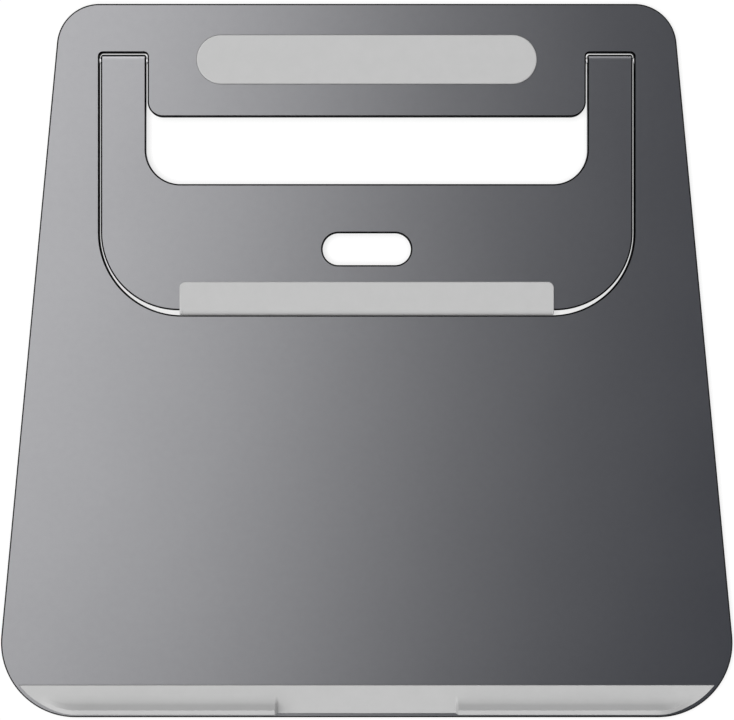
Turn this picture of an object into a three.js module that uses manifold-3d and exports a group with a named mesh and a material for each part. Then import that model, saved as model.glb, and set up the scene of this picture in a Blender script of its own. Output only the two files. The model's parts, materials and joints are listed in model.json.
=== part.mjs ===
// A folding laptop stand of anodised aluminium sheet with rubber pads.
//
// A trapezoid plate carries the laptop. A U-shaped leg lies flush in a cut-out of the plate and turns down
// on two spring pins at the rear. Lengths are in millimetres. X runs to the right, Y to the rear and Z up.
// The origin is below the middle of the folded stand, on the surface that its feet rest on.
import * as THREE from 'three';
import { mergeVertices } from 'three/addons/utils/BufferGeometryUtils.js';
import Module from 'manifold-3d';

const wasm = await Module();
wasm.setup();

// Driving dimensions: the plate. Half widths are those of the sharp corners, before rounding.
const PLATE_DEPTH = 234.2;
const PLATE_REAR_HALF_WIDTH = 100.5;
const PLATE_FRONT_HALF_WIDTH = 122.5;
const PLATE_REAR_RADIUS = 14;
const PLATE_FRONT_RADIUS = 24.5;
const SHEET = 3.5;

// The cut-out that the leg folds into, and the tongue between the leg's two arms.
const CUTOUT_HALF_WIDTH = 87.75;
const CUTOUT_FRONT = 14.9;
const CUTOUT_REAR = 101;
const CUTOUT_FRONT_RADIUS = 27.1;
const CUTOUT_REAR_RADIUS = 1;
const TONGUE_HALF_WIDTH = 71.95;
const TONGUE_FRONT = 80;
const TONGUE_RADIUS = 5;

// The leg.
const LEG_HALF_WIDTH = 87.3;
const ARM_INNER_HALF_WIDTH = 72.4;
const LEG_FRONT = 16.5;
const LEG_FRONT_RADIUS = 25.5;
const LEG_BAR_REAR = 57.95;
const LEG_BAR_RADIUS = 11.2;
const FINGER_HOLE_LENGTH = 29;
const FINGER_HOLE_WIDTH = 10.5;
const FINGER_HOLE_Y = 36.6;

// The hinge. The pins lie along X, half in the plate and half in the tongue.
const HINGE_Y = 98.55;
const PIN_DIAMETER = 2;
const PIN_BORE_DIAMETER = 2.2;
const PIN_WALL = 0.4;
const PIN_SLOT = 0.5;
const PIN_LENGTH = 30;
const PIN_INNER_END = 64.8;
const PLUG_DIAMETER = 2;
const PLUG_LENGTH = 6.5;
const PLUG_OUTER_END = 102;

// Rubber pieces and the adhesive film under each.
const TAPE = 0.125;
const POCKET_DEPTH = 0.5;
const POCKET_GAP = 0.3;
const PAD_PROUD = 0.5;
const REAR_PAD_LENGTH = 111.5;
const REAR_PAD_WIDTH = 16;
const REAR_PAD_Y = 98.8;
const GRIP_REAR = -106.5;
const RIM = 1.1;
const BOOT_HALF_WIDTH = 61.4;
const BOOT_FRONT = 15.25;
const BOOT_REAR = 25.8;
const BOOT_REAR_RADIUS = 1.6;
const BOOT_WALL = 0.5;
const BOOT_TAPE = 0.25;
const BOOT_TAPE_MARGIN = 1;
const FOOT_HEIGHT = 1.375;
const FRONT_FOOT = { length: 78, width: 7, x: 58, y: -111.4 };
const REAR_FOOT = { length: 36, width: 7, x: 70, y: 109 };

// The front grip's two upstanding lips: their height above the deck, the notch between them, and how they
// run out round the front corners. Each has a level crown along its front and a cove behind it.
const LIP_HEIGHT = 5.25;
const NOTCH_HALF_WIDTH = 29.2;
const NOTCH_RAMP = 1.2;
const LIP_TAPER_START = 94.5;
const LIP_TAPER_END = 107.5;
const CROWN_WIDTH = 1.4;
const COVE_WIDTH = 4.4;
const GRIP_TIP_CUT = 1;

// Heights of the layers.
const FEET_HEIGHT = FOOT_HEIGHT + TAPE;
const PLATE_BOTTOM = FEET_HEIGHT;
const PLATE_TOP = PLATE_BOTTOM + SHEET;
const HINGE_Z = PLATE_BOTTOM + SHEET / 2;
const LIP_TOP = PLATE_TOP + LIP_HEIGHT;
const POCKET_FLOOR = PLATE_TOP - POCKET_DEPTH;
const PAD_BOTTOM = POCKET_FLOOR + TAPE;
const PAD_TOP = PLATE_TOP + PAD_PROUD;

// How finely round shapes are cut into flats.
const ARC_STEPS = 8;
const BORE_SIDES = 24;
const COVE_STEPS = 6;
// How far a cutting tool runs past what it cuts.
const OVERCUT = 1;

const FRONT_EDGE = -PLATE_DEPTH / 2;
const REAR_EDGE = PLATE_DEPTH / 2;
const SIDE_SLOPE = (PLATE_FRONT_HALF_WIDTH - PLATE_REAR_HALF_WIDTH) / PLATE_DEPTH;
const FRONT_CORNER_ANGLE = Math.atan2(1, SIDE_SLOPE);
// The centre of each front corner's arc.
const FRONT_ARC_X = PLATE_FRONT_HALF_WIDTH - PLATE_FRONT_RADIUS / Math.tan(FRONT_CORNER_ANGLE / 2);
const FRONT_ARC_Y = FRONT_EDGE + PLATE_FRONT_RADIUS;

function finish(color, roughness, metalness) {
  return new THREE.MeshStandardMaterial({ color, roughness, metalness });
}

const anodised = finish(0x77777b, 0.42, 0.9);
const rubber = finish(0xc3c3c2, 0.75, 0);
const steel = finish(0xc9cbce, 0.25, 1);
const film = finish(0xe6e2d6, 0.6, 0);

// ---- outlines ----

// A closed outline through the given [x, y, radius] corners, each corner rounded by its own radius.
function roundedOutline(corners) {
  const outline = new THREE.Shape();
  corners.forEach(([x, y, radius], i) => {
    const corner = new THREE.Vector2(x, y);
    const before = new THREE.Vector2(...corners.at(i - 1)).sub(corner).normalize();
    const after = new THREE.Vector2(...corners[(i + 1) % corners.length]).sub(corner).normalize();
    const half = Math.acos(before.dot(after)) / 2;
    const start = before.clone().multiplyScalar(radius / Math.tan(half)).add(corner);
    const inwards = before.clone().add(after).normalize();
    const centre = inwards.multiplyScalar(radius / Math.sin(half)).add(corner);
    const end = after.clone().multiplyScalar(radius / Math.tan(half)).add(corner);
    const startAngle = start.sub(centre).angle();
    const endAngle = end.sub(centre).angle();
    outline.absarc(centre.x, centre.y, radius, startAngle, endAngle, before.cross(after) > 0);
  });
  outline.closePath();
  return outline;
}

// A strip along X with full-round ends.
function stadium(length, width, x, y) {
  const radius = width / 2;
  const straight = length / 2 - radius;
  const outline = new THREE.Shape();
  outline.absarc(x + straight, y, radius, -Math.PI / 2, Math.PI / 2, false);
  outline.absarc(x - straight, y, radius, Math.PI / 2, 1.5 * Math.PI, false);
  outline.closePath();
  return outline;
}

function plateOutline() {
  return roundedOutline([
    [-PLATE_FRONT_HALF_WIDTH, FRONT_EDGE, PLATE_FRONT_RADIUS],
    [PLATE_FRONT_HALF_WIDTH, FRONT_EDGE, PLATE_FRONT_RADIUS],
    [PLATE_REAR_HALF_WIDTH, REAR_EDGE, PLATE_REAR_RADIUS],
    [-PLATE_REAR_HALF_WIDTH, REAR_EDGE, PLATE_REAR_RADIUS],
  ]);
}

// What lies in front of the line y = rear, set in from the plate's outline by inset.
function frontBand(inset, rear) {
  const radius = PLATE_FRONT_RADIUS - inset;
  const rise = Math.asin((rear - FRONT_ARC_Y) / radius);
  const outline = new THREE.Shape();
  outline.absarc(-FRONT_ARC_X, FRONT_ARC_Y, radius, Math.PI - rise, 1.5 * Math.PI, false);
  outline.absarc(FRONT_ARC_X, FRONT_ARC_Y, radius, 1.5 * Math.PI, 2 * Math.PI + rise, false);
  outline.closePath();
  return outline;
}

// Y of the front of that band at x.
function frontEdgeAt(x, inset) {
  const beyond = Math.max(0, Math.abs(x) - FRONT_ARC_X);
  return FRONT_ARC_Y - Math.sqrt((PLATE_FRONT_RADIUS - inset) ** 2 - beyond ** 2);
}

// Height of the lip at x, as a share of its full height.
function lipShare(x) {
  const fromCentre = Math.abs(x);
  const up = THREE.MathUtils.smoothstep(fromCentre, NOTCH_HALF_WIDTH, NOTCH_HALF_WIDTH + NOTCH_RAMP);
  const out = THREE.MathUtils.smoothstep(fromCentre, LIP_TAPER_START, LIP_TAPER_END);
  return up * (1 - out);
}

// The places along X where the lip's height changes, from the left end to the right.
function lipStations(end) {
  const right = [0];
  for (let i = 0; i <= 4; i++) right.push(NOTCH_HALF_WIDTH + (NOTCH_RAMP * i) / 4);
  for (let i = 0; i <= 8; i++) right.push(THREE.MathUtils.lerp(LIP_TAPER_START, LIP_TAPER_END, i / 8));
  for (let i = 1; i <= 3; i++) right.push(THREE.MathUtils.lerp(LIP_TAPER_END, end, i / 3));
  const left = right.slice(1).reverse().map((x) => -x);
  return [...left, ...right];
}

// ---- solids ----

function extrude(shape, bottom, top) {
  const geometry = new THREE.ExtrudeGeometry(shape, {
    depth: top - bottom,
    bevelEnabled: false,
    curveSegments: ARC_STEPS,
  });
  return geometry.translate(0, 0, bottom);
}

// A round bar along X.
function barAlongX(radius, from, to, y, z) {
  const bar = new THREE.CylinderGeometry(radius, radius, to - from, BORE_SIDES);
  return bar.rotateZ(Math.PI / 2).translate((from + to) / 2, y, z);
}

// A closed skin over rings of [x, y, z] points, all with the same number of points. The rings follow each
// other along +X, and each runs clockwise when Y is drawn to the right and Z up.
function loft(rings) {
  const count = rings[0].length;
  const flat = rings[0].map(([, y, z]) => new THREE.Vector2(y, z));
  const cap = THREE.ShapeUtils.triangulateShape(flat, []);
  const last = (rings.length - 1) * count;
  const indices = [];
  for (let r = 0; r < rings.length - 1; r++) {
    for (let i = 0; i < count; i++) {
      const a = r * count + i;
      const b = r * count + ((i + 1) % count);
      indices.push(a, a + count, b, b, a + count, b + count);
    }
  }
  cap.forEach(([a, b, c]) => indices.push(a, c, b, last + a, last + b, last + c));
  const geometry = new THREE.BufferGeometry();
  geometry.setAttribute('position', new THREE.Float32BufferAttribute(rings.flat(2), 3));
  geometry.setIndex(indices);
  return geometry;
}

function toSolid(geometry) {
  const bare = geometry.clone();
  bare.deleteAttribute('normal');
  bare.deleteAttribute('uv');
  const merged = mergeVertices(bare);
  return new wasm.Manifold(
    new wasm.Mesh({
      numProp: 3,
      vertProperties: merged.attributes.position.array,
      triVerts: new Uint32Array(merged.index.array),
    }),
  );
}

function toGeometry(solid) {
  const mesh = solid.getMesh();
  const geometry = new THREE.BufferGeometry();
  geometry.setAttribute('position', new THREE.BufferAttribute(mesh.vertProperties, 3));
  geometry.setIndex(new THREE.BufferAttribute(mesh.triVerts, 1));
  geometry.computeVertexNormals();
  return geometry;
}

function cut(geometry, ...tools) {
  return toGeometry(tools.reduce((solid, tool) => solid.subtract(toSolid(tool)), toSolid(geometry)));
}

function join(...geometries) {
  return toGeometry(geometries.map(toSolid).reduce((sum, solid) => sum.add(solid)));
}

// ---- the plate ----

function cutoutOutline() {
  return roundedOutline([
    [-CUTOUT_HALF_WIDTH, CUTOUT_FRONT, CUTOUT_FRONT_RADIUS],
    [CUTOUT_HALF_WIDTH, CUTOUT_FRONT, CUTOUT_FRONT_RADIUS],
    [CUTOUT_HALF_WIDTH, CUTOUT_REAR, CUTOUT_REAR_RADIUS],
    [TONGUE_HALF_WIDTH, CUTOUT_REAR, CUTOUT_REAR_RADIUS],
    [TONGUE_HALF_WIDTH, TONGUE_FRONT, TONGUE_RADIUS],
    [-TONGUE_HALF_WIDTH, TONGUE_FRONT, TONGUE_RADIUS],
    [-TONGUE_HALF_WIDTH, CUTOUT_REAR, CUTOUT_REAR_RADIUS],
    [-CUTOUT_HALF_WIDTH, CUTOUT_REAR, CUTOUT_REAR_RADIUS],
  ]);
}

// The sheet with its cut-out, a pocket for each rubber piece on top, and the two pin bores.
function topPlate() {
  const length = REAR_PAD_LENGTH + 2 * POCKET_GAP;
  const width = REAR_PAD_WIDTH + 2 * POCKET_GAP;
  const bore = PIN_BORE_DIAMETER / 2;
  return cut(
    extrude(plateOutline(), PLATE_BOTTOM, PLATE_TOP),
    extrude(cutoutOutline(), PLATE_BOTTOM - OVERCUT, PLATE_TOP + OVERCUT),
    extrude(stadium(length, width, 0, REAR_PAD_Y), POCKET_FLOOR, PLATE_TOP + OVERCUT),
    extrude(frontBand(RIM, GRIP_REAR + POCKET_GAP), POCKET_FLOOR, PLATE_TOP + OVERCUT),
    barAlongX(bore, PIN_INNER_END - POCKET_GAP, PLATE_FRONT_HALF_WIDTH, HINGE_Y, HINGE_Z),
    barAlongX(bore, -PLATE_FRONT_HALF_WIDTH, -PIN_INNER_END + POCKET_GAP, HINGE_Y, HINGE_Z),
  );
}

// ---- the leg ----

function legOutline() {
  return roundedOutline([
    [-LEG_HALF_WIDTH, LEG_FRONT, LEG_FRONT_RADIUS],
    [LEG_HALF_WIDTH, LEG_FRONT, LEG_FRONT_RADIUS],
    [LEG_HALF_WIDTH, HINGE_Y, 0],
    [ARM_INNER_HALF_WIDTH, HINGE_Y, 0],
    [ARM_INNER_HALF_WIDTH, LEG_BAR_REAR, LEG_BAR_RADIUS],
    [-ARM_INNER_HALF_WIDTH, LEG_BAR_REAR, LEG_BAR_RADIUS],
    [-ARM_INNER_HALF_WIDTH, HINGE_Y, 0],
    [-LEG_HALF_WIDTH, HINGE_Y, 0],
  ]);
}

// The sheet's rear ends are rounded into barrels about the hinge axis.
function legFrame() {
  const hole = stadium(FINGER_HOLE_LENGTH, FINGER_HOLE_WIDTH, 0, FINGER_HOLE_Y);
  const bore = PIN_BORE_DIAMETER / 2;
  const solid = join(
    extrude(legOutline(), PLATE_BOTTOM, PLATE_TOP),
    barAlongX(SHEET / 2, ARM_INNER_HALF_WIDTH, LEG_HALF_WIDTH, HINGE_Y, HINGE_Z),
    barAlongX(SHEET / 2, -LEG_HALF_WIDTH, -ARM_INNER_HALF_WIDTH, HINGE_Y, HINGE_Z),
  );
  return cut(
    solid,
    extrude(hole, PLATE_BOTTOM - OVERCUT, PLATE_TOP + OVERCUT),
    barAlongX(bore, ARM_INNER_HALF_WIDTH - OVERCUT, LEG_HALF_WIDTH + OVERCUT, HINGE_Y, HINGE_Z),
    barAlongX(bore, -LEG_HALF_WIDTH - OVERCUT, -ARM_INNER_HALF_WIDTH + OVERCUT, HINGE_Y, HINGE_Z),
  );
}

// ---- the hinge ----

// A slotted spring pin: a rolled strip of steel whose slot faces down.
function springPin(side) {
  const outer = PIN_DIAMETER / 2;
  const inner = outer - PIN_WALL;
  const outerGap = Math.asin(PIN_SLOT / 2 / outer);
  const innerGap = Math.asin(PIN_SLOT / 2 / inner);
  const section = new THREE.Shape();
  section.absarc(0, 0, outer, outerGap, 2 * Math.PI - outerGap, false);
  section.absarc(0, 0, inner, 2 * Math.PI - innerGap, innerGap, true);
  section.closePath();
  const from = side > 0 ? PIN_INNER_END : -PIN_INNER_END - PIN_LENGTH;
  return extrude(section, 0, PIN_LENGTH).rotateY(Math.PI / 2).translate(from, HINGE_Y, HINGE_Z);
}

function borePlug(side) {
  const inner = PLUG_OUTER_END - PLUG_LENGTH;
  const from = side > 0 ? inner : -PLUG_OUTER_END;
  return barAlongX(PLUG_DIAMETER / 2, from, from + PLUG_LENGTH, HINGE_Y, HINGE_Z);
}

// ---- rubber pieces ----

// One section of the front grip, from its rear edge round its front face, over the crown and down the cove.
function gripSection(x) {
  const front = frontEdgeAt(x, RIM + POCKET_GAP);
  const narrow = Math.min(1, (GRIP_REAR - front) / (CROWN_WIDTH + COVE_WIDTH));
  const rise = lipShare(x) * (LIP_TOP - PAD_TOP);
  const section = [
    [x, GRIP_REAR, PAD_BOTTOM],
    [x, front, PAD_BOTTOM],
    [x, front, PAD_TOP + rise],
  ];
  for (let i = 0; i <= COVE_STEPS; i++) {
    const turn = (i / COVE_STEPS) * (Math.PI / 2);
    const offset = CROWN_WIDTH + COVE_WIDTH * (1 - Math.cos(turn));
    section.push([x, front + offset * narrow, PAD_TOP + rise * (1 - Math.sin(turn))]);
  }
  section.push([x, GRIP_REAR, PAD_TOP]);
  return section;
}

function frontGrip() {
  const radius = PLATE_FRONT_RADIUS - RIM - POCKET_GAP;
  const tip = FRONT_ARC_X + Math.sqrt(radius ** 2 - (GRIP_REAR - FRONT_ARC_Y) ** 2);
  return loft(lipStations(tip - GRIP_TIP_CUT).map(gripSection));
}

// A channel, open to the rear, over the leg's free end.
function legBoot() {
  const outline = roundedOutline([
    [-BOOT_HALF_WIDTH, BOOT_FRONT, 0],
    [BOOT_HALF_WIDTH, BOOT_FRONT, 0],
    [BOOT_HALF_WIDTH, BOOT_REAR, BOOT_REAR_RADIUS],
    [-BOOT_HALF_WIDTH, BOOT_REAR, BOOT_REAR_RADIUS],
  ]);
  const wide = BOOT_HALF_WIDTH + OVERCUT;
  const channel = new THREE.Shape();
  channel.moveTo(-wide, LEG_FRONT - POCKET_GAP);
  channel.lineTo(wide, LEG_FRONT - POCKET_GAP);
  channel.lineTo(wide, BOOT_REAR + OVERCUT);
  channel.lineTo(-wide, BOOT_REAR + OVERCUT);
  channel.closePath();
  const below = PLATE_BOTTOM - BOOT_TAPE;
  const above = PLATE_TOP + BOOT_TAPE;
  return cut(extrude(outline, below - BOOT_WALL, above + BOOT_WALL), extrude(channel, below, above));
}

function bootTape(bottom) {
  const halfWidth = BOOT_HALF_WIDTH - BOOT_TAPE_MARGIN;
  const front = LEG_FRONT + BOOT_TAPE_MARGIN;
  const rear = BOOT_REAR - BOOT_TAPE_MARGIN;
  const shape = roundedOutline([
    [-halfWidth, front, 0],
    [halfWidth, front, 0],
    [halfWidth, rear, 0],
    [-halfWidth, rear, 0],
  ]);
  return extrude(shape, bottom, bottom + BOOT_TAPE);
}

// ---- assembly ----

function part(name, geometry, material) {
  const mesh = new THREE.Mesh(geometry, material.clone());
  mesh.name = name;
  return mesh;
}

// A foot with its film, both glued to the plate's underside.
function foot(name, side, { length, width, x, y }) {
  const outline = stadium(length, width, side * x, y);
  const end = side > 0 ? 'right' : 'left';
  return [
    part(`${name}_${end}`, extrude(outline, 0, FOOT_HEIGHT), rubber),
    part(`${name}_tape_${end}`, extrude(outline, FOOT_HEIGHT, FEET_HEIGHT), film),
  ];
}

const deck = new THREE.Group();
const rearPad = stadium(REAR_PAD_LENGTH, REAR_PAD_WIDTH, 0, REAR_PAD_Y);
deck.add(
  part('top_plate', topPlate(), anodised),
  part('rear_pad', extrude(rearPad, PAD_BOTTOM, PAD_TOP), rubber),
  part('rear_pad_tape', extrude(rearPad, POCKET_FLOOR, PAD_BOTTOM), film),
  part('front_grip', frontGrip(), rubber),
  part('front_grip_tape', extrude(frontBand(RIM + POCKET_GAP, GRIP_REAR), POCKET_FLOOR, PAD_BOTTOM), film),
);
for (const side of [-1, 1]) {
  const end = side > 0 ? 'right' : 'left';
  deck.add(
    part(`hinge_pin_${end}`, springPin(side), steel),
    part(`bore_plug_${end}`, borePlug(side), anodised),
    ...foot('front_foot', side, FRONT_FOOT),
    ...foot('rear_foot', side, REAR_FOOT),
  );
}

const leg = new THREE.Group();
leg.add(
  part('leg_frame', legFrame(), anodised),
  part('leg_boot', legBoot(), rubber),
  part('boot_tape_upper', bootTape(PLATE_TOP), film),
  part('boot_tape_lower', bootTape(PLATE_BOTTOM - BOOT_TAPE), film),
);

const stand = new THREE.Group();
stand.add(deck, leg);

export default stand;
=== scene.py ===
# A folding laptop stand of anodised aluminium sheet with rubber pads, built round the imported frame.
#
# The plate, the leg, the hinge pins, the bore plugs and every rubber piece are remade here with their
# edge breaks, roundings and run-outs. The adhesive films stay as the frame has them. Sizes are in
# millimetres until a piece is made, and places come from the boxes of the frame's nodes.
import json
import math

import bmesh
import bpy
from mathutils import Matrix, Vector
from mathutils.geometry import tessellate_polygon


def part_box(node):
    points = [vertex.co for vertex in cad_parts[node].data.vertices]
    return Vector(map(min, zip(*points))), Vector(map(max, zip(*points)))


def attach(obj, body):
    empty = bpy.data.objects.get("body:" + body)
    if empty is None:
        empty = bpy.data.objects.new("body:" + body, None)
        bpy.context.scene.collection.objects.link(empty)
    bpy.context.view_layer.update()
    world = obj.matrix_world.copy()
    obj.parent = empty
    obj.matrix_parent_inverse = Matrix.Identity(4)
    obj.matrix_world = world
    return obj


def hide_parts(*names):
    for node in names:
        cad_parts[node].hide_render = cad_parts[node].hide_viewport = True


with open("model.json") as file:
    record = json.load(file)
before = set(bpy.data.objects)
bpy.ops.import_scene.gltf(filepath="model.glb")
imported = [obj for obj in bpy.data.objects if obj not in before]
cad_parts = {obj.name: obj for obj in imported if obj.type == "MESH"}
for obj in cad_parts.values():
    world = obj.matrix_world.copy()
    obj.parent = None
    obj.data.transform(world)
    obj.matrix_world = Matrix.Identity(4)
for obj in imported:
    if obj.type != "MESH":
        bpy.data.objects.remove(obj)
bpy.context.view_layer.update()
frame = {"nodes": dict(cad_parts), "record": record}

MM = 0.001


def box_mm(node):
    """Lowest and highest corner of a node of the frame, in millimetres."""
    low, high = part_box(node)
    return Vector(low) / MM, Vector(high) / MM


PLATE_LOW, PLATE_HIGH = box_mm("top_plate")
LEG_LOW, LEG_HIGH = box_mm("leg_frame")
GRIP_LOW, GRIP_HIGH = box_mm("front_grip")
PAD_LOW, PAD_HIGH = box_mm("rear_pad")
BOOT_LOW, BOOT_HIGH = box_mm("leg_boot")
HINGE = Vector(frame["record"]["behaviour"]["joints"][0]["pos_m"]) / MM

# Heights of the layers.
PLATE_BOTTOM = PLATE_LOW.z
PLATE_TOP = PLATE_HIGH.z
POCKET_FLOOR = box_mm("rear_pad_tape")[0].z
PAD_BOTTOM = PAD_LOW.z
PAD_TOP = PAD_HIGH.z

# The plate. Half widths are those of the sharp corners, before rounding.
FRONT_EDGE = PLATE_LOW.y
REAR_EDGE = PLATE_HIGH.y
PLATE_FRONT_HALF_WIDTH = 122.5
PLATE_REAR_HALF_WIDTH = 100.5
PLATE_FRONT_RADIUS = 24.5
PLATE_REAR_RADIUS = 14
CUTOUT_HALF_WIDTH = 87.75
CUTOUT_FRONT = 14.9
CUTOUT_REAR = 101
CUTOUT_FRONT_RADIUS = 27.1
CUTOUT_REAR_RADIUS = 1.2
TONGUE_HALF_WIDTH = 71.95
TONGUE_FRONT = 80
TONGUE_RADIUS = 5

# Chamfers on the sheet, painted near black as shade: round the plate, round the leg, at the mouths of
# openings and under them.
PLATE_EDGE = 0.49
LEG_EDGE = 0.52
INNER_EDGE = 0.5
LOWER_EDGE = 0.15

# The edge break of the pockets and the clearance between fitted pieces.
BREAK = 0.06
FIT_GAP = 0.05

# The leg.
LEG_HALF_WIDTH = LEG_HIGH.x
LEG_FRONT = LEG_LOW.y
LEG_REAR = HINGE.y + 2
ARM_INNER_HALF_WIDTH = 72.4
ARM_CORNER_RADIUS = 0.9
LEG_FRONT_RADIUS = 25.5
LEG_BAR_REAR = 57.95
LEG_BAR_RADIUS = 11.2
FINGER_HOLE_LENGTH = 29
FINGER_HOLE_WIDTH = 10.5
FINGER_HOLE_Y = 36.6
BARREL_REACH = 2.05
BARREL_TURN = math.radians(72)
BARREL_STEPS = 9

# The hinge's bores, pins and plugs. A plug's ends are (distance from the end, share of its radius).
BORE_RADIUS = 1.1
PIN_RADIUS = 1.0
PIN_WALL = 0.4
PIN_SLOT = 0.5
PIN_CHAMFER = 0.25
PLUG_INNER_END = ((0, 0.75), (0.25, 1))
PLUG_OUTER_END = ((0.2, 1), (0.08, 0.94), (0, 0.7))

# The front grip's two upstanding lips: where they start beside the notch, how they run out at the corners,
# and their section, which has a nearly level crown, a steep riser and a cove behind it.
NOTCH_HALF_WIDTH = 29.15
NOTCH_RAMP = 0.9
NOTCH_FOOT = 0.1
RAMP_STEPS = 12
PLAIN_STATIONS = (33, 60, 90, 93)
LIP_TAPER_START = 94.5
LIP_TAPER_END = 107.5
COVE_END = 6.1
COVE_RADIUS = 3.65
COVE_STEEPEST = math.radians(64)
COVE_STEPS = 12
CROWN_RADIUS = 0.2
CROWN_FALL = math.radians(2)
CROWN_STEPS = 6
GRIP_TIP_DEPTH = 0.25
TIP_ROUNDING_SHARE = 0.4

# Roundings of the rubber pieces.
PAD_ROUNDING = 0.45
GRIP_ROUNDING = 0.2
FOOT_ROUNDING = 0.5
BOOT_ROUNDING = 0.35
BOOT_FRONT_ROUNDING = 1.7
BOOT_CORNER_RADIUS = 2.0
BOOT_FRONT_CORNER_RADIUS = 0.4
ROUNDING_ANGLES = [math.radians(a) for a in (0, 12, 24, 36, 48, 60, 72, 83, 88, 90)]

# How finely curves are cut, which edges shade as hard, and the length in metres that counts as nothing.
ARC_STEP = math.radians(3)
FRONT_ARC_STEP = math.radians(2)
ROUND_SIDES = 40
SHARP = math.radians(28)
TINY = 1e-7

# The camera. The view is as wide as VIEW_WIDTH at the plate's top, in metres, and CAMERA_SENSOR is in mm.
VIEW_WIDTH = 0.24084
VIEW_CENTRE = (0.000082, 0.00019)
CAMERA_LENS = 139
CAMERA_SENSOR = 36
CAMERA_REACH = 50

# The floor and its contact shadow, in metres.
FLOOR_SIZE = 4
SHADOW_FROM = (-0.6, -0.1, 0.8)
SHADOW_REACH = 0.0028
SHADOW_TONE = 0.45
BACKDROP = 1.03

# The room as matt surfaces see it: darkest and brightest, and how the bright side narrows.
SOFT_FROM = (-0.6, -0.07, 1)
SOFT_LEVELS = (0.54, 2.7)
SOFT_SHARPNESS = 3

# The room as glossy surfaces see it. The fades are heights of the direction looked in, where 1 is straight
# up, and the rear wall's spread is how far that direction points to the rear.
WALL_GLOSS = 1.0
WALL_FADE = (0.12, 0.5)
REAR_GLOSS = 1.4
REAR_FADE = (0.45, 0.7)
REAR_SPREAD = (0.35, 0.65)
CEILING_GLOSS = (0.026, 0.034, 0.056)

# The panel light, in metres, degrees and watts.
KEY_PLACE = (-0.438, 0.111, 0.525)
KEY_TURN = (-35, -7.6, 0)
KEY_SIZE = (0.81, 1.215)
KEY_ENERGY = 5.3

# Where the arcs of the plate's front corners are centred.
SIDE_SLOPE = (PLATE_FRONT_HALF_WIDTH - PLATE_REAR_HALF_WIDTH) / (REAR_EDGE - FRONT_EDGE)
FRONT_CORNER_ANGLE = math.atan2(1, SIDE_SLOPE)
FRONT_ARC_X = PLATE_FRONT_HALF_WIDTH - PLATE_FRONT_RADIUS / math.tan(FRONT_CORNER_ANGLE / 2)
FRONT_ARC_Y = FRONT_EDGE + PLATE_FRONT_RADIUS

# How far the grip's front face is set in from the plate's edge.
GRIP_INSET = GRIP_LOW.y - FRONT_EDGE + FIT_GAP


# ---- outlines: closed anticlockwise loops of (x, y, nx, ny), with the normal pointing out ----

def corner_arc(before, corner, after, radius):
    """The points that round one corner of an outline."""
    into = (corner - before).normalized()
    out = (after - corner).normalized()
    turn = math.atan2(into.x * out.y - into.y * out.x, into.dot(out))
    if radius == 0:
        normal = Vector((into.y + out.y, -into.x - out.x)) / (1 + into.dot(out))
        return [(corner.x, corner.y, normal.x, normal.y)]
    side = math.copysign(radius, turn)
    start = corner - into * radius * math.tan(abs(turn) / 2)
    centre = start + Vector((-into.y, into.x)) * side
    steps = max(1, math.ceil(abs(turn) / ARC_STEP))
    heading = math.atan2(into.y, into.x)
    points = []
    for k in range(steps + 1):
        angle = heading + turn * k / steps - math.pi / 2
        nx, ny = math.cos(angle), math.sin(angle)
        points.append((centre.x + nx * side, centre.y + ny * side, nx, ny))
    return points


def corner_arcs(corners):
    """One list of points for each [x, y, radius] corner."""
    places = [Vector(c[:2]) for c in corners]
    count = len(corners)
    return [
        corner_arc(places[i - 1], places[i], places[(i + 1) % count], corners[i][2])
        for i in range(count)
    ]


def rounded(corners):
    """The outline through [x, y, radius] corners."""
    return [point for arc in corner_arcs(corners) for point in arc]


def stadium(length, width, x, y):
    """A strip along X with full-round ends."""
    radius = width / 2
    straight = length / 2 - radius
    steps = math.ceil(math.pi / ARC_STEP)
    loop = []
    for end, shift in ((0, straight), (1, -straight)):
        for k in range(steps + 1):
            angle = math.pi * (end + k / steps) - math.pi / 2
            nx, ny = math.cos(angle), math.sin(angle)
            loop.append((x + shift + radius * nx, y + radius * ny, nx, ny))
    return loop


def moved(loop, out, z):
    """The loop moved out along its normals, at height z, which may differ from point to point."""
    heights = z if isinstance(z, list) else [z] * len(loop)
    return [(x + nx * out, y + ny * out, h) for (x, y, nx, ny), h in zip(loop, heights)]


def rounding(radius):
    """(distance in from the wall, distance below the top) round a quarter circle, ending level."""
    return [(radius * (1 - math.cos(a)), radius * (1 - math.sin(a))) for a in ROUNDING_ANGLES]


# ---- meshes ----

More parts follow.
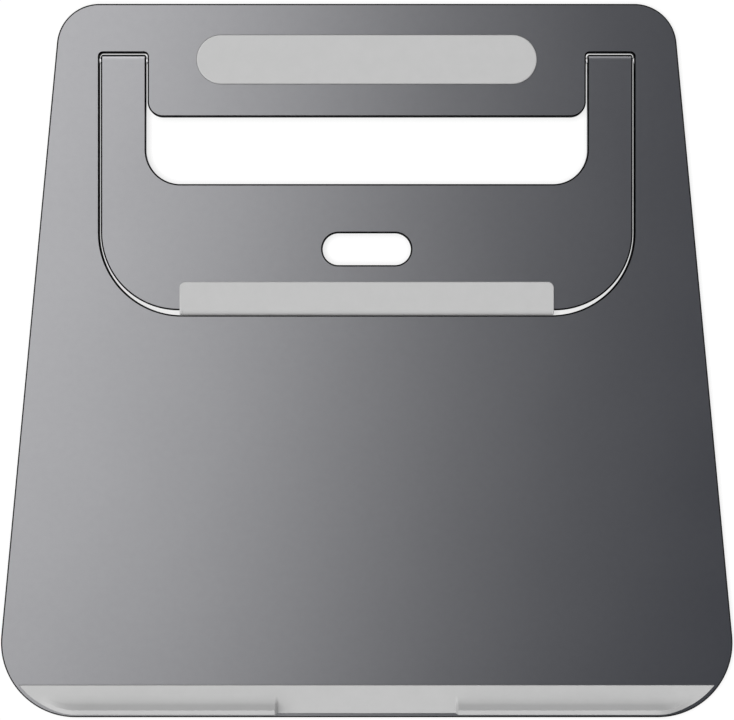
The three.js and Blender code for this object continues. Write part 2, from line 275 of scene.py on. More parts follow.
class Skin:
    """Points in millimetres and the faces between them, which become one closed mesh."""

    def __init__(self):
        self.points = []
        self.faces = []
        self.slots = []
        self.smooth = []

    def ring(self, points):
        """Adds points and returns their numbers."""
        first = len(self.points)
        self.points.extend(points)
        return list(range(first, len(self.points)))

    def face(self, corners, slot=0, smooth=True):
        self.faces.append(tuple(corners))
        self.slots.append(slot)
        self.smooth.append(smooth)

    def band(self, a, b, slot=0, closed=True):
        """Four-sided faces between two rings with the same number of points."""
        for i in range(len(a) if closed else len(a) - 1):
            j = (i + 1) % len(a)
            self.face((a[i], a[j], b[j], b[i]), slot)

    def bands(self, rings, slot=0):
        """Closed bands between each ring and the next."""
        for a, b in zip(rings, rings[1:]):
            self.band(a, b, slot)

    def fill(self, outline, holes=()):
        """A flat face inside a ring and outside the rings in it."""
        rings = [outline, *holes]
        order = [i for ring in rings for i in ring]
        loops = [[Vector(self.points[i]) for i in ring] for ring in rings]
        for corners in tessellate_polygon(loops):
            self.face([order[c] for c in corners], smooth=False)

    def mesh(self, name, materials):
        data = bpy.data.meshes.new(name)
        data.from_pydata([Vector(p) * MM for p in self.points], [], self.faces)
        data.polygons.foreach_set("material_index", self.slots)
        data.polygons.foreach_set("use_smooth", self.smooth)
        for material in materials:
            data.materials.append(material)
        tidy(data)
        return data


def tidy(data):
    """Turns every face outwards, drops the tapering triangles with no area and marks the hard edges."""
    bm = bmesh.new()
    bm.from_mesh(data)
    bmesh.ops.dissolve_degenerate(bm, dist=TINY, edges=bm.edges[:])
    bmesh.ops.recalc_face_normals(bm, faces=bm.faces[:])
    bm.to_mesh(data)
    bm.free()
    data.set_sharp_from_angle(angle=SHARP)


def piece(name, body, node, data):
    """A visible piece that rides on a body and stands for a node of the frame."""
    made = bpy.data.objects.new(name, data)
    bpy.context.scene.collection.objects.link(made)
    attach(made, body)
    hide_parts(node)


def rod(stations):
    """A round bar on the hinge axis with flat ends, for (x, radius) stations."""
    skin = Skin()
    turns = [2 * math.pi * k / ROUND_SIDES for k in range(ROUND_SIDES)]
    rings = [
        skin.ring([(x, HINGE.y + radius * math.cos(t), HINGE.z + radius * math.sin(t)) for t in turns])
        for x, radius in stations
    ]
    skin.bands(rings)
    skin.fill(rings[0])
    skin.fill(rings[-1])
    return skin


def drill(data, spans):
    """Cuts round bores on the hinge axis out of a mesh, over each (from, to) span of X."""
    scene = bpy.context.scene
    target = bpy.data.objects.new("drilled", data)
    scene.collection.objects.link(target)
    for start, end in spans:
        bore = rod([(start, BORE_RADIUS), (end, BORE_RADIUS)])
        cutter = bpy.data.objects.new("cutter", bore.mesh("cutter", []))
        scene.collection.objects.link(cutter)
        cut = target.modifiers.new("cut", "BOOLEAN")
        cut.operation = "DIFFERENCE"
        cut.solver = "EXACT"
        cut.object = cutter
    drilled = target.evaluated_get(bpy.context.evaluated_depsgraph_get())
    done = bpy.data.meshes.new_from_object(drilled)
    for used in [target, *(m.object for m in target.modifiers)]:
        bpy.data.objects.remove(used)
    done.set_sharp_from_angle(angle=SHARP)
    return done


# ---- materials ----

def new_material(name):
    material = bpy.data.materials.new(name)
    material.use_nodes = True
    return material, material.node_tree, material.node_tree.nodes["Principled BSDF"]


def noise(tree, scale, detail=2.0, stretch=None):
    """A noise over the row frame. The scale is in features per metre."""
    place = tree.nodes.new("ShaderNodeTexCoord").outputs["Object"]
    if stretch:
        mapping = tree.nodes.new("ShaderNodeMapping")
        mapping.inputs["Scale"].default_value = stretch
        tree.links.new(place, mapping.inputs["Vector"])
        place = mapping.outputs["Vector"]
    texture = tree.nodes.new("ShaderNodeTexNoise")
    texture.inputs["Scale"].default_value = scale
    texture.inputs["Detail"].default_value = detail
    tree.links.new(place, texture.inputs["Vector"])
    return texture.outputs["Fac"]


def spread(tree, value, low, high, start=0.3, end=0.7):
    """Maps a value to low at start and high at end, which by default are those of a noise."""
    node = tree.nodes.new("ShaderNodeMapRange")
    node.inputs["From Min"].default_value = start
    node.inputs["From Max"].default_value = end
    node.inputs["To Min"].default_value = low
    node.inputs["To Max"].default_value = high
    tree.links.new(value, node.inputs["Value"])
    return node.outputs["Result"]


def math_node(tree, operation, a, b):
    node = tree.nodes.new("ShaderNodeMath")
    node.operation = operation
    tree.links.new(a, node.inputs[0])
    tree.links.new(b, node.inputs[1])
    return node.outputs[0]


def tinted(tree, factor, dark, light):
    """A colour between dark and light."""
    ramp = tree.nodes.new("ShaderNodeMix")
    ramp.data_type = "RGBA"
    ramp.inputs["A"].default_value = (*dark, 1)
    ramp.inputs["B"].default_value = (*light, 1)
    tree.links.new(factor, ramp.inputs["Factor"])
    return ramp.outputs["Result"]


def bump(tree, shader, height, depth, strength):
    """Grain that stands depth metres proud."""
    node = tree.nodes.new("ShaderNodeBump")
    node.inputs["Distance"].default_value = depth
    node.inputs["Strength"].default_value = strength
    tree.links.new(height, node.inputs["Height"])
    tree.links.new(node.outputs["Normal"], shader.inputs["Normal"])


def shade(color, by):
    """A colour made darker or lighter."""
    return tuple(c * by for c in color)


def anodised_metal():
    """Fine bead-blasted and anodised aluminium: faint mottling, a fine grain and even roughness."""
    material, tree, shader = new_material("anodised_metal")
    color = (0.320, 0.318, 0.325)
    shader.inputs["Metallic"].default_value = 1.0
    mottle = spread(tree, noise(tree, 420, 3), 0.0, 1.0)
    grain = spread(tree, noise(tree, 3600, 2), 0.0, 1.0)
    coarse_part = spread(tree, mottle, 0.0, 0.4, 0, 1)
    fine_part = spread(tree, grain, 0.0, 0.6, 0, 1)
    mixed = math_node(tree, "ADD", coarse_part, fine_part)
    tint = tinted(tree, mixed, shade(color, 0.965), shade(color, 1.035))
    tree.links.new(tint, shader.inputs["Base Color"])
    tree.links.new(spread(tree, noise(tree, 30, 2), 0.374, 0.386), shader.inputs["Roughness"])
    bump(tree, shader, noise(tree, 6500, 2), 0.000012, 0.35)
    return material


def painted_shade_edge_metal():
    """The cut chamfers, painted near black as shade, a little paler where handling has worn them."""
    material, tree, shader = new_material("painted_shade_edge_metal")
    shader.inputs["Metallic"].default_value = 1.0
    wear = spread(tree, noise(tree, 240, 4), 0.0, 1.0, 0.60, 0.82)
    # Painted shade: the near-black tone stands for the dark the chamfers show; the paler spots are wear.
    tint = tinted(tree, wear, (0.003, 0.003, 0.003), (0.009, 0.009, 0.010))
    tree.links.new(tint, shader.inputs["Base Color"])
    tree.links.new(spread(tree, noise(tree, 900), 0.34, 0.46), shader.inputs["Roughness"])
    bump(tree, shader, noise(tree, 6500, 2), 0.000010, 0.3)
    return material


def painted_shade_wall_metal():
    """The walls inside the openings, painted near black as shade: matt, with fine milling lines."""
    material, tree, shader = new_material("painted_shade_wall_metal")
    shader.inputs["Specular IOR Level"].default_value = 0.1
    lines = spread(tree, noise(tree, 700, 3, stretch=(1, 1, 6)), 0.0, 1.0)
    # Painted shade: the walls are near black so the openings read as shadowed; the milling lines vary it.
    tint = tinted(tree, lines, (0.008, 0.008, 0.009), (0.015, 0.015, 0.016))
    tree.links.new(tint, shader.inputs["Base Color"])
    tree.links.new(spread(tree, lines, 0.65, 0.75, 0, 1), shader.inputs["Roughness"])
    bump(tree, shader, lines, 0.00001, 0.3)
    return material


def grey_rubber():
    """Matt light grey silicone with a very fine moulded texture."""
    material, tree, shader = new_material("grey_rubber")
    color = (0.414, 0.414, 0.414)
    mottle = spread(tree, noise(tree, 260, 3), 0.0, 1.0)
    tint = tinted(tree, mottle, shade(color, 0.985), shade(color, 1.015))
    tree.links.new(tint, shader.inputs["Base Color"])
    tree.links.new(spread(tree, noise(tree, 1500), 0.70, 0.80), shader.inputs["Roughness"])
    shader.inputs["Specular IOR Level"].default_value = 0.35
    bump(tree, shader, noise(tree, 4200, 3), 0.00003, 0.35)
    return material


def painted_highlight_steel():
    """Rolled spring steel, nearly white and half matt as a painted highlight, with fine drawing lines."""
    material, tree, shader = new_material("painted_highlight_steel")
    shader.inputs["Metallic"].default_value = 0.1
    drawn = spread(tree, noise(tree, 1800, 2, stretch=(8, 1, 1)), 0.0, 1.0)
    # Painted highlight: the near-white colour stands in for the polished pins' highlight.
    tint = tinted(tree, drawn, (0.90, 0.90, 0.91), (0.96, 0.96, 0.96))
    tree.links.new(tint, shader.inputs["Base Color"])
    tree.links.new(spread(tree, drawn, 0.24, 0.34, 0, 1), shader.inputs["Roughness"])
    bump(tree, shader, drawn, 0.00001, 0.3)
    return material


def adhesive_film():
    """Pale double-sided tape."""
    material, tree, shader = new_material("adhesive_film")
    fibres = spread(tree, noise(tree, 900, 4), 0.0, 1.0)
    tint = tinted(tree, fibres, (0.66, 0.63, 0.55), (0.76, 0.73, 0.66))
    tree.links.new(tint, shader.inputs["Base Color"])
    tree.links.new(spread(tree, fibres, 0.5, 0.65, 0, 1), shader.inputs["Roughness"])
    bump(tree, shader, fibres, 0.00002, 0.3)
    return material


METAL = anodised_metal()
PAINTED_SHADE_EDGE_METAL = painted_shade_edge_metal()
PAINTED_SHADE_WALL_METAL = painted_shade_wall_metal()
RUBBER = grey_rubber()
PAINTED_HIGHLIGHT_STEEL = painted_highlight_steel()
FILM = adhesive_film()
# The sheet's chamfers and opening walls take near-black materials, which are painted shade.
SHEET_MATERIALS = [METAL, PAINTED_SHADE_EDGE_METAL, PAINTED_SHADE_WALL_METAL]
FACE_SLOT = 0
PAINTED_SHADE_EDGE_SLOT = 1
PAINTED_SHADE_WALL_SLOT = 2


# ---- the front band, where the grip and its pocket follow the plate's edge ----

def lip_share(x):
    """Height of the lip at x, as a share of its full height."""
    up = min(1, max(0, (abs(x) - NOTCH_HALF_WIDTH + NOTCH_FOOT) / (NOTCH_RAMP + NOTCH_FOOT)))
    out = min(1, max(0, (abs(x) - LIP_TAPER_START) / (LIP_TAPER_END - LIP_TAPER_START)))
    return up ** 2 * (3 - 2 * up) * (1 - out * out * (3 - 2 * out))


def straight_stations():
    """Places along the straight front edge, close together where the lips end at the notch."""
    foot = NOTCH_HALF_WIDTH - NOTCH_FOOT
    step = (NOTCH_RAMP + NOTCH_FOOT) / RAMP_STEPS
    ramp = [foot + step * k for k in range(-1, RAMP_STEPS + 2)]
    right = [0, *ramp, *PLAIN_STATIONS]
    return [-x for x in reversed(right[1:])] + right


def front_line(inset, rear):
    """The plate's front edge moved in by inset, as points of an outline.

    It runs from the line y = rear at the left, along the front and back to that line at the right.
    """
    radius = PLATE_FRONT_RADIUS - inset
    last = math.acos((FRONT_ARC_Y - rear) / radius)
    steps = math.ceil(last / FRONT_ARC_STEP)
    corner = []
    for k in range(steps + 1):
        nx, ny = math.sin(last * k / steps), -math.cos(last * k / steps)
        corner.append((FRONT_ARC_X + radius * nx, FRONT_ARC_Y + radius * ny, nx, ny))
    left = [(-x, y, -nx, ny) for x, y, nx, ny in reversed(corner)]
    middle = [(x, FRONT_EDGE + inset, 0, -1) for x in straight_stations()]
    return left + middle + corner


# ---- the plate ----

def outer_wall(skin, loop, edge):
    """The wall round a sheet, with a chamfer at its bottom and top. Returns the bottom and top rings."""
    low_edge = skin.ring(moved(loop, -edge, PLATE_BOTTOM))
    low = skin.ring(moved(loop, 0, PLATE_BOTTOM + edge))
    high = skin.ring(moved(loop, 0, PLATE_TOP - edge))
    high_edge = skin.ring(moved(loop, -edge, PLATE_TOP))
    # Both chamfers take the near-black edge material, which is painted shade.
    skin.band(low_edge, low, PAINTED_SHADE_EDGE_SLOT)
    skin.band(low, high, FACE_SLOT)
    skin.band(high, high_edge, PAINTED_SHADE_EDGE_SLOT)
    return low_edge, high_edge


def opening_wall(skin, loop):
    """The wall round a hole, chamfered at its top and only broken at its bottom. Returns both rings."""
    low_edge = skin.ring(moved(loop, LOWER_EDGE, PLATE_BOTTOM))
    low = skin.ring(moved(loop, 0, PLATE_BOTTOM + LOWER_EDGE))
    high = skin.ring(moved(loop, 0, PLATE_TOP - INNER_EDGE))
    high_edge = skin.ring(moved(loop, INNER_EDGE, PLATE_TOP))
    # The wall and its lower break take the near-black wall material, which is painted shade.
    skin.bands([low_edge, low, high], PAINTED_SHADE_WALL_SLOT)
    skin.band(high, high_edge, PAINTED_SHADE_EDGE_SLOT)
    return low_edge, high_edge


def pocket(skin, loop):
    """A shallow pocket with a small edge break. Returns the ring at its mouth."""
    mouth = skin.ring(moved(loop, BREAK, PLATE_TOP))
    wall_top = skin.ring(moved(loop, 0, PLATE_TOP - BREAK))
    wall_foot = skin.ring(moved(loop, 0, POCKET_FLOOR))
    skin.bands([mouth, wall_top, wall_foot])
    skin.fill(wall_foot)
    return mouth


def plate_loop():
    """The trapezoid outline of the plate."""
    return rounded([
        [-PLATE_FRONT_HALF_WIDTH, FRONT_EDGE, PLATE_FRONT_RADIUS],
        [PLATE_FRONT_HALF_WIDTH, FRONT_EDGE, PLATE_FRONT_RADIUS],
        [PLATE_REAR_HALF_WIDTH, REAR_EDGE, PLATE_REAR_RADIUS],
        [-PLATE_REAR_HALF_WIDTH, REAR_EDGE, PLATE_REAR_RADIUS],
    ])


def cutout_loop():
    """The opening that takes the leg, with the tongue between the leg's arms left standing."""
    return rounded([
        [-CUTOUT_HALF_WIDTH, CUTOUT_FRONT, CUTOUT_FRONT_RADIUS],
        [CUTOUT_HALF_WIDTH, CUTOUT_FRONT, CUTOUT_FRONT_RADIUS],
        [CUTOUT_HALF_WIDTH, CUTOUT_REAR, CUTOUT_REAR_RADIUS],
        [TONGUE_HALF_WIDTH, CUTOUT_REAR, CUTOUT_REAR_RADIUS],
        [TONGUE_HALF_WIDTH, TONGUE_FRONT, TONGUE_RADIUS],
        [-TONGUE_HALF_WIDTH, TONGUE_FRONT, TONGUE_RADIUS],
        [-TONGUE_HALF_WIDTH, CUTOUT_REAR, CUTOUT_REAR_RADIUS],
        [-CUTOUT_HALF_WIDTH, CUTOUT_REAR, CUTOUT_REAR_RADIUS],
    ])


def grip_pocket_loop():
    """The pocket for the grip: the front band with a sharp corner at each tip."""
    inset = GRIP_INSET - FIT_GAP
    rear = GRIP_HIGH.y + FIT_GAP
    loop = front_line(inset, rear)
    for end in (0, -1):
        x, y, nx, ny = loop[end]
        along = (1 - ny) / nx
        loop[end] = (x, y, along, 1)
    return loop


def top_plate():
    """The deck's sheet, with the leg's cut-out, the hinge bores and pockets for the pad and the grip."""
    skin = Skin()
    pad = stadium(
        PAD_HIGH.x - PAD_LOW.x + 4 * FIT_GAP, PAD_HIGH.y - PAD_LOW.y + 4 * FIT_GAP,
        0, (PAD_LOW.y + PAD_HIGH.y) / 2,
    )
    bottom_ring, top_ring = outer_wall(skin, plate_loop(), PLATE_EDGE)
    hole_bottom, hole_top = opening_wall(skin, cutout_loop())
    skin.fill(top_ring, [hole_top, pocket(skin, pad), pocket(skin, grip_pocket_loop())])
    skin.fill(bottom_ring, [hole_bottom])
    inner = box_mm("hinge_pin_right")[0].x - FIT_GAP
    bores = [(inner, PLATE_FRONT_HALF_WIDTH), (-PLATE_FRONT_HALF_WIDTH, -inner)]
    data = drill(skin.mesh("top_plate", SHEET_MATERIALS), bores)
    piece("plate", "deck", "top_plate", data)


# ---- the leg ----

def leg_loop():
    """The U-shaped outline of the leg."""
    return rounded([
        [-LEG_HALF_WIDTH, LEG_FRONT, LEG_FRONT_RADIUS],
        [LEG_HALF_WIDTH, LEG_FRONT, LEG_FRONT_RADIUS],
        [LEG_HALF_WIDTH, LEG_REAR, ARM_CORNER_RADIUS],
        [ARM_INNER_HALF_WIDTH, LEG_REAR, ARM_CORNER_RADIUS],
        [ARM_INNER_HALF_WIDTH, LEG_BAR_REAR, LEG_BAR_RADIUS],
        [-ARM_INNER_HALF_WIDTH, LEG_BAR_REAR, LEG_BAR_RADIUS],
        [-ARM_INNER_HALF_WIDTH, LEG_REAR, ARM_CORNER_RADIUS],
        [-LEG_HALF_WIDTH, LEG_REAR, ARM_CORNER_RADIUS],
    ])


def round_arm_ends(data):
    """Rounds the rear ends of the arms into barrels about the hinge axis."""
    bm = bmesh.new()
    bm.from_mesh(data)
    axis_y, axis_z = HINGE.y * MM, HINGE.z * MM
    reach = BARREL_REACH * MM
    for k in range(BARREL_STEPS):
        y = axis_y + reach * math.sin(BARREL_TURN * k / (BARREL_STEPS - 1))
        everything = bm.verts[:] + bm.edges[:] + bm.faces[:]
        bmesh.ops.bisect_plane(bm, geom=everything, dist=TINY, plane_co=(0, y, 0), plane_no=(0, 1, 0))
    for vert in bm.verts:
        behind = (vert.co.y - axis_y) / reach
        if behind > 0:
            vert.co.z = axis_z + (vert.co.z - axis_z) * math.sqrt(1 - min(behind, 1) ** 2)
    for face in bm.faces:
        if face.calc_center_median().y > axis_y:
            face.smooth = True
    bm.to_mesh(data)
    bm.free()


def leg_frame():
    """The leg's sheet, with its finger hole, barrel ends and hinge bores."""
    skin = Skin()
    hole = stadium(FINGER_HOLE_LENGTH, FINGER_HOLE_WIDTH, 0, FINGER_HOLE_Y)
    bottom_ring, top_ring = outer_wall(skin, leg_loop(), LEG_EDGE)
    hole_bottom, hole_top = opening_wall(skin, hole)
    skin.fill(top_ring, [hole_top])
    skin.fill(bottom_ring, [hole_bottom])
    data = skin.mesh("leg_frame", SHEET_MATERIALS)
    round_arm_ends(data)
    inner, outer = ARM_INNER_HALF_WIDTH - 1, LEG_HALF_WIDTH + 1
    data = drill(data, [(inner, outer), (-outer, -inner)])
    piece("leg", "leg", "leg_frame", data)


# ---- the hinge ----

def spring_pin(side):
    """A rolled strip whose slot faces down, with chamfered ends."""
    node = f"hinge_pin_{side}"
    low, high = box_mm(node)
    skin = Skin()
    rings = []
    for x, radius in (
        (low.x, PIN_RADIUS - PIN_CHAMFER), (low.x + PIN_CHAMFER, PIN_RADIUS),
        (high.x - PIN_CHAMFER, PIN_RADIUS), (high.x, PIN_RADIUS - PIN_CHAMFER),
    ):
        section = []
        for r, order in ((radius, 1), (PIN_RADIUS - PIN_WALL, -1)):
            gap = math.asin(PIN_SLOT / 2 / r)
            turns = [gap + (2 * math.pi - 2 * gap) * k / ROUND_SIDES for k in range(ROUND_SIDES + 1)]
            section += [(x, HINGE.y + r * math.sin(t), HINGE.z - r * math.cos(t)) for t in turns[::order]]
        rings.append(skin.ring(section))
    skin.bands(rings)
    skin.fill(rings[0])
    skin.fill(rings[-1])
    piece(f"spring_pin_{side}", "deck", node, skin.mesh(node, [PAINTED_HIGHLIGHT_STEEL]))


def bore_plug(side):
    """A short plug, chamfered at its inner end and slightly domed at its outer end."""
    node = f"bore_plug_{side}"
    low, high = box_mm(node)
    radius = (high.y - low.y) / 2
    length = high.x - low.x
    along = [*PLUG_INNER_END, *((length - d, share) for d, share in PLUG_OUTER_END)]
    start, way = (high.x, -1) if side == "left" else (low.x, 1)
    data = rod([(start + way * d, radius * share) for d, share in along]).mesh(node, [METAL])
    piece(f"plug_{side}", "deck", node, data)


# ---- rubber pieces ----

def rubber_slab(skin, loop, wall_end, round_end, radius):
    """A slab from wall_end to round_end in height, with its edge rounded at round_end."""
    rise = math.copysign(1, round_end - wall_end)
    rings = [skin.ring(moved(loop, 0, wall_end))]
    for inset, below in rounding(radius):
        rings.append(skin.ring(moved(loop, -inset, round_end - rise * below)))
    skin.bands(rings)
    skin.fill(rings[0])
    skin.fill(rings[-1])


def rear_pad():
    """The stadium pad near the plate's rear edge, one clearance wider all round than its node."""
    skin = Skin()
    loop = stadium(
        PAD_HIGH.x - PAD_LOW.x + 2 * FIT_GAP, PAD_HIGH.y - PAD_LOW.y + 2 * FIT_GAP,
        0, (PAD_LOW.y + PAD_HIGH.y) / 2,
    )
    rubber_slab(skin, loop, PAD_BOTTOM, PAD_TOP, PAD_ROUNDING)
    piece("deck_pad", "deck", "rear_pad", skin.mesh("rear_pad", [RUBBER]))


def foot(name):
    """A rubber strip under the plate, rounded at its lower edge."""
    low, high = box_mm(name)
    skin = Skin()
    loop = stadium(high.x - low.x, high.y - low.y, (low.x + high.x) / 2, (low.y + high.y) / 2)
    rubber_slab(skin, loop, high.z, low.z, FOOT_ROUNDING)
    piece(f"{name}_pad", "deck", name, skin.mesh(name, [RUBBER]))


def upstand():
    """The section of a lip as (share of its depth, share of its height), from front to rear.

    It has a nearly level crown, drops down a riser and runs out in a cove.
    """
    height = GRIP_HIGH.z - PAD_TOP
    riser_y = COVE_END - COVE_RADIUS * math.sin(COVE_STEEPEST)
    riser_foot = COVE_RADIUS * (1 - math.cos(COVE_STEEPEST))
    riser_top = height - CROWN_RADIUS * (1 - math.cos(COVE_STEEPEST))
    riser_run = (riser_top - riser_foot) / math.tan(COVE_STEEPEST)
    crown_y = riser_y - riser_run - CROWN_RADIUS * math.sin(COVE_STEEPEST)
    crown_z = height - CROWN_RADIUS
    front_y = crown_y - CROWN_RADIUS * math.sin(CROWN_FALL)
    fall = (front_y - GRIP_ROUNDING) * math.tan(CROWN_FALL)
    section = [(GRIP_ROUNDING, crown_z + CROWN_RADIUS * math.cos(CROWN_FALL) - fall)]
    for k in range(CROWN_STEPS + 1):
        tilt = (COVE_STEEPEST + CROWN_FALL) * k / CROWN_STEPS - CROWN_FALL
        y, z = crown_y + CROWN_RADIUS * math.sin(tilt), crown_z + CROWN_RADIUS * math.cos(tilt)
        section.append((y, z))
    for k in range(COVE_STEPS + 1):
        tilt = COVE_STEEPEST * (1 - k / COVE_STEPS)
        y, z = COVE_END - COVE_RADIUS * math.sin(tilt), COVE_RADIUS * (1 - math.cos(tilt))
        section.append((y, z))
    depth = COVE_END - GRIP_ROUNDING
    return [((y - GRIP_ROUNDING) / depth, z / height) for y, z in section]


def grip_section(x, front, profile):
    """One closed section across the grip, from its rear foot round its front and over the top."""
    rear = GRIP_HIGH.y
    depth = rear - front
    soft = min(GRIP_ROUNDING, depth * TIP_ROUNDING_SHARE)
    span = min(COVE_END, depth - soft)
    height = (GRIP_HIGH.z - PAD_TOP) * lip_share(x)
    edge = rounding(soft)
    crown = PAD_TOP + height * profile[0][1]
    section = [(x, rear, PAD_BOTTOM), (x, front, PAD_BOTTOM)]
    section += [(x, front + inset, crown - below) for inset, below in edge[:-1]]
    section += [(x, front + soft + (span - soft) * back, PAD_TOP + height * up) for back, up in profile]
    section += [(x, rear - inset, PAD_TOP - below) for inset, below in reversed(edge)]
    return section


def front_grip():
    """The front grip: flat in its notch and behind, rising through a cove to a crown along each lip."""
    skin = Skin()
    profile = upstand()
    line = front_line(GRIP_INSET, GRIP_HIGH.y - GRIP_TIP_DEPTH)
    rings = [skin.ring(grip_section(x, y, profile)) for x, y, _, _ in line]
    skin.bands(rings)
    skin.fill(rings[0])
    skin.fill(rings[-1])
    piece("grip", "deck", "front_grip", skin.mesh("front_grip", [RUBBER]))


def boot_half(skin, loop, wall_end, round_end):
    """The wall and rounded edge of the boot on one side of the leg, rounder along its front."""
    rise = math.copysign(1, round_end - wall_end)
    softness = [
        BOOT_ROUNDING + (BOOT_FRONT_ROUNDING - BOOT_ROUNDING) * max(0, -ny) ** 2 for _, _, _, ny in loop
    ]
    feet = [round_end - rise * max(abs(wall_end - round_end), r + BREAK) for r in softness]
    rings = [skin.ring(moved(loop, 0, feet))]
    for inset, below in rounding(1):
        rings.append(skin.ring([
            (x - nx * inset * r, y - ny * inset * r, round_end - rise * below * r)
            for (x, y, nx, ny), r in zip(loop, softness)
        ]))
    skin.bands(rings)
    skin.fill(rings[-1])
    return rings[0]


def leg_boot():
    """A channel over the leg's free end, recessed inside for its two films."""
    skin = Skin()
    half, front, rear = BOOT_HIGH.x, CUTOUT_FRONT + 2 * FIT_GAP, BOOT_HIGH.y
    inner_front = LEG_FRONT - FIT_GAP
    arcs = corner_arcs([
        [-half, front, BOOT_FRONT_CORNER_RADIUS],
        [half, front, BOOT_FRONT_CORNER_RADIUS],
        [half, rear, BOOT_CORNER_RADIUS],
        [-half, rear, BOOT_CORNER_RADIUS],
    ])
    wall = [(-half, inner_front, -1, 0), *arcs[0], *arcs[1], (half, inner_front, 1, 0)]
    loop = wall + arcs[2] + arcs[3]
    last = len(wall) - 1
    halves = []
    for tape, leg_face, outer in (
        ("boot_tape_upper", PLATE_TOP, BOOT_HIGH.z),
        ("boot_tape_lower", PLATE_BOTTOM, BOOT_LOW.z),
    ):
        out = math.copysign(1, outer - leg_face)
        foot_ring = boot_half(skin, loop, leg_face + out * FIT_GAP / 2, outer)
        low, high = box_mm(tape)
        recess = rounded([
            [low.x, low.y, 0], [high.x, low.y, 0], [high.x, high.y, 0], [low.x, high.y, 0],
        ])
        mouth = skin.ring(moved(recess, FIT_GAP, leg_face + out * FIT_GAP / 2))
        floor = skin.ring(moved(recess, FIT_GAP, high.z if out > 0 else low.z))
        skin.band(mouth, floor)
        skin.fill(floor)
        skin.fill([foot_ring[0], *foot_ring[last:]], [mouth])
        halves.append(foot_ring)
    upper, lower = halves
    skin.band(upper[:last + 1], lower[:last + 1], closed=False)
    skin.face((upper[0], upper[last], lower[last], lower[0]), smooth=False)
    piece("boot", "leg", "leg_boot", skin.mesh("leg_boot", [RUBBER]))


# ---- the studio ----

def world_branch(tree, strength, color=(1, 1, 1)):
    """A background of this colour, whose strength is a number or an output."""
    background = tree.nodes.new("ShaderNodeBackground")
    background.inputs["Color"].default_value = (*color, 1)
    if isinstance(strength, (int, float)):
        background.inputs["Strength"].default_value = strength
    else:
        tree.links.new(strength, background.inputs["Strength"])
    return background.outputs[0]


def soft_step(tree, value, start, end, low, high):
    """Goes smoothly from low where value is at start to high where it is at end."""
    result = spread(tree, value, low, high, start, end)
    result.node.interpolation_type = "SMOOTHSTEP"
    return result


def choose(tree, by, no, yes):
    """One shader where by is 0, the other where it is 1."""
    mix = tree.nodes.new("ShaderNodeMixShader")
    tree.links.new(by, mix.inputs[0])
    tree.links.new(no, mix.inputs[1])
    tree.links.new(yes, mix.inputs[2])
    return mix.outputs[0]


def studio_world():
    """A white room.

    Matt surfaces see a soft light from above and the left. Glossy ones see a dim ceiling, bright walls and
    a brighter rear wall, so that flat metal reads dark from above.
    """
    world = bpy.data.worlds.new("studio")
    bpy.context.scene.world = world
    world.use_nodes = True
    world.cycles.sampling_method = "NONE"
    tree = world.node_tree
    tree.nodes.clear()
    direction = tree.nodes.new("ShaderNodeTexCoord").outputs["Generated"]
    towards = tree.nodes.new("ShaderNodeVectorMath")
    towards.operation = "DOT_PRODUCT"
    towards.inputs[1].default_value = Vector(SOFT_FROM).normalized()
    tree.links.new(direction, towards.inputs[0])
    lobe = tree.nodes.new("ShaderNodeMath")
    lobe.operation = "POWER"
    tree.links.new(spread(tree, towards.outputs["Value"], 0, 1, 0, 1), lobe.inputs[0])
    lobe.inputs[1].default_value = SOFT_SHARPNESS
    soft = spread(tree, lobe.outputs[0], *SOFT_LEVELS, 0, 1)
    split = tree.nodes.new("ShaderNodeSeparateXYZ")
    tree.links.new(direction, split.inputs[0])
    walls = soft_step(tree, split.outputs["Z"], *WALL_FADE, WALL_GLOSS, 0)
    high = soft_step(tree, split.outputs["Z"], *REAR_FADE, REAR_GLOSS, 0)
    behind = soft_step(tree, split.outputs["Y"], *REAR_SPREAD, 0, 1)
    bright = math_node(tree, "MAXIMUM", walls, math_node(tree, "MULTIPLY", high, behind))
    gloss = tree.nodes.new("ShaderNodeAddShader")
    tree.links.new(world_branch(tree, bright), gloss.inputs[0])
    tree.links.new(world_branch(tree, 1, CEILING_GLOSS), gloss.inputs[1])
    path = tree.nodes.new("ShaderNodeLightPath")
    seen = choose(tree, path.outputs["Is Glossy Ray"], world_branch(tree, soft), gloss.outputs[0])
    shown = choose(tree, path.outputs["Is Camera Ray"], seen, world_branch(tree, BACKDROP))
    output = tree.nodes.new("ShaderNodeOutputWorld")
    tree.links.new(shown, output.inputs["Surface"])


def key_light():
    """A large soft panel at the left rear that only shows in glossy surfaces."""
    light = bpy.data.lights.new("key", "AREA")
    light.shape = "RECTANGLE"
    light.size, light.size_y = KEY_SIZE
    light.energy = KEY_ENERGY
    holder = bpy.data.objects.new("key", light)
    bpy.context.scene.collection.objects.link(holder)
    holder.location = KEY_PLACE
    holder.rotation_euler = [math.radians(a) for a in KEY_TURN]
    holder.visible_camera = False
    holder.visible_diffuse = False


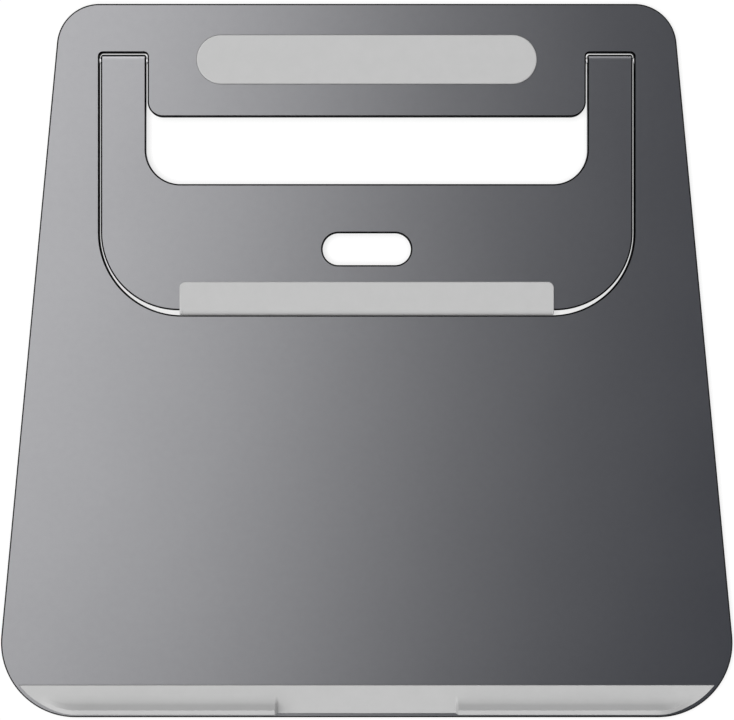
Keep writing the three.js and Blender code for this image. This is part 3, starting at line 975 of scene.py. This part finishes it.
def floor():
    """A plain white floor that takes only soft contact shadows.

    It lets the white room show through, so that the opened leg, which swings below it, stays in view.
    """
    data = bpy.data.meshes.new("floor")
    reach = FLOOR_SIZE / 2
    corners = [(-reach, -reach, 0), (reach, -reach, 0), (reach, reach, 0), (-reach, reach, 0)]
    data.from_pydata(corners, [], [(0, 1, 2, 3)])
    material = bpy.data.materials.new("floor")
    material.use_nodes = True
    tree = material.node_tree
    tree.nodes.clear()
    tilt = tree.nodes.new("ShaderNodeCombineXYZ")
    for axis, value in zip("XYZ", Vector(SHADOW_FROM).normalized()):
        tilt.inputs[axis].default_value = value
    contact = tree.nodes.new("ShaderNodeAmbientOcclusion")
    contact.inputs["Distance"].default_value = SHADOW_REACH
    tree.links.new(tilt.outputs[0], contact.inputs["Normal"])
    clear = tree.nodes.new("ShaderNodeBsdfTransparent")
    shadow = (SHADOW_TONE,) * 3
    tree.links.new(tinted(tree, contact.outputs["AO"], shadow, (1, 1, 1)), clear.inputs["Color"])
    output = tree.nodes.new("ShaderNodeOutputMaterial")
    tree.links.new(clear.outputs[0], output.inputs["Surface"])
    data.materials.append(material)
    made = bpy.data.objects.new("floor", data)
    bpy.context.scene.collection.objects.link(made)


def camera():
    """Straight down from about 0.9 m, framed on the plate's top."""
    lens = bpy.data.cameras.new("camera")
    lens.lens = CAMERA_LENS
    lens.sensor_width = CAMERA_SENSOR
    lens.clip_end = CAMERA_REACH
    holder = bpy.data.objects.new("camera", lens)
    bpy.context.scene.collection.objects.link(holder)
    height = VIEW_WIDTH * CAMERA_LENS / CAMERA_SENSOR
    holder.location = (*VIEW_CENTRE, PLATE_TOP * MM + height)
    bpy.context.scene.camera = holder


# ---- assembly ----

top_plate()
leg_frame()
rear_pad()
front_grip()
leg_boot()
for side in ("left", "right"):
    spring_pin(side)
    bore_plug(side)
    foot(f"front_foot_{side}")
    foot(f"rear_foot_{side}")

for name, node in frame["nodes"].items():
    if "tape" in name:
        node.data.materials.clear()
        node.data.materials.append(FILM)

camera()
floor()
studio_world()
key_light()
bpy.context.scene.view_settings.view_transform = "Standard"
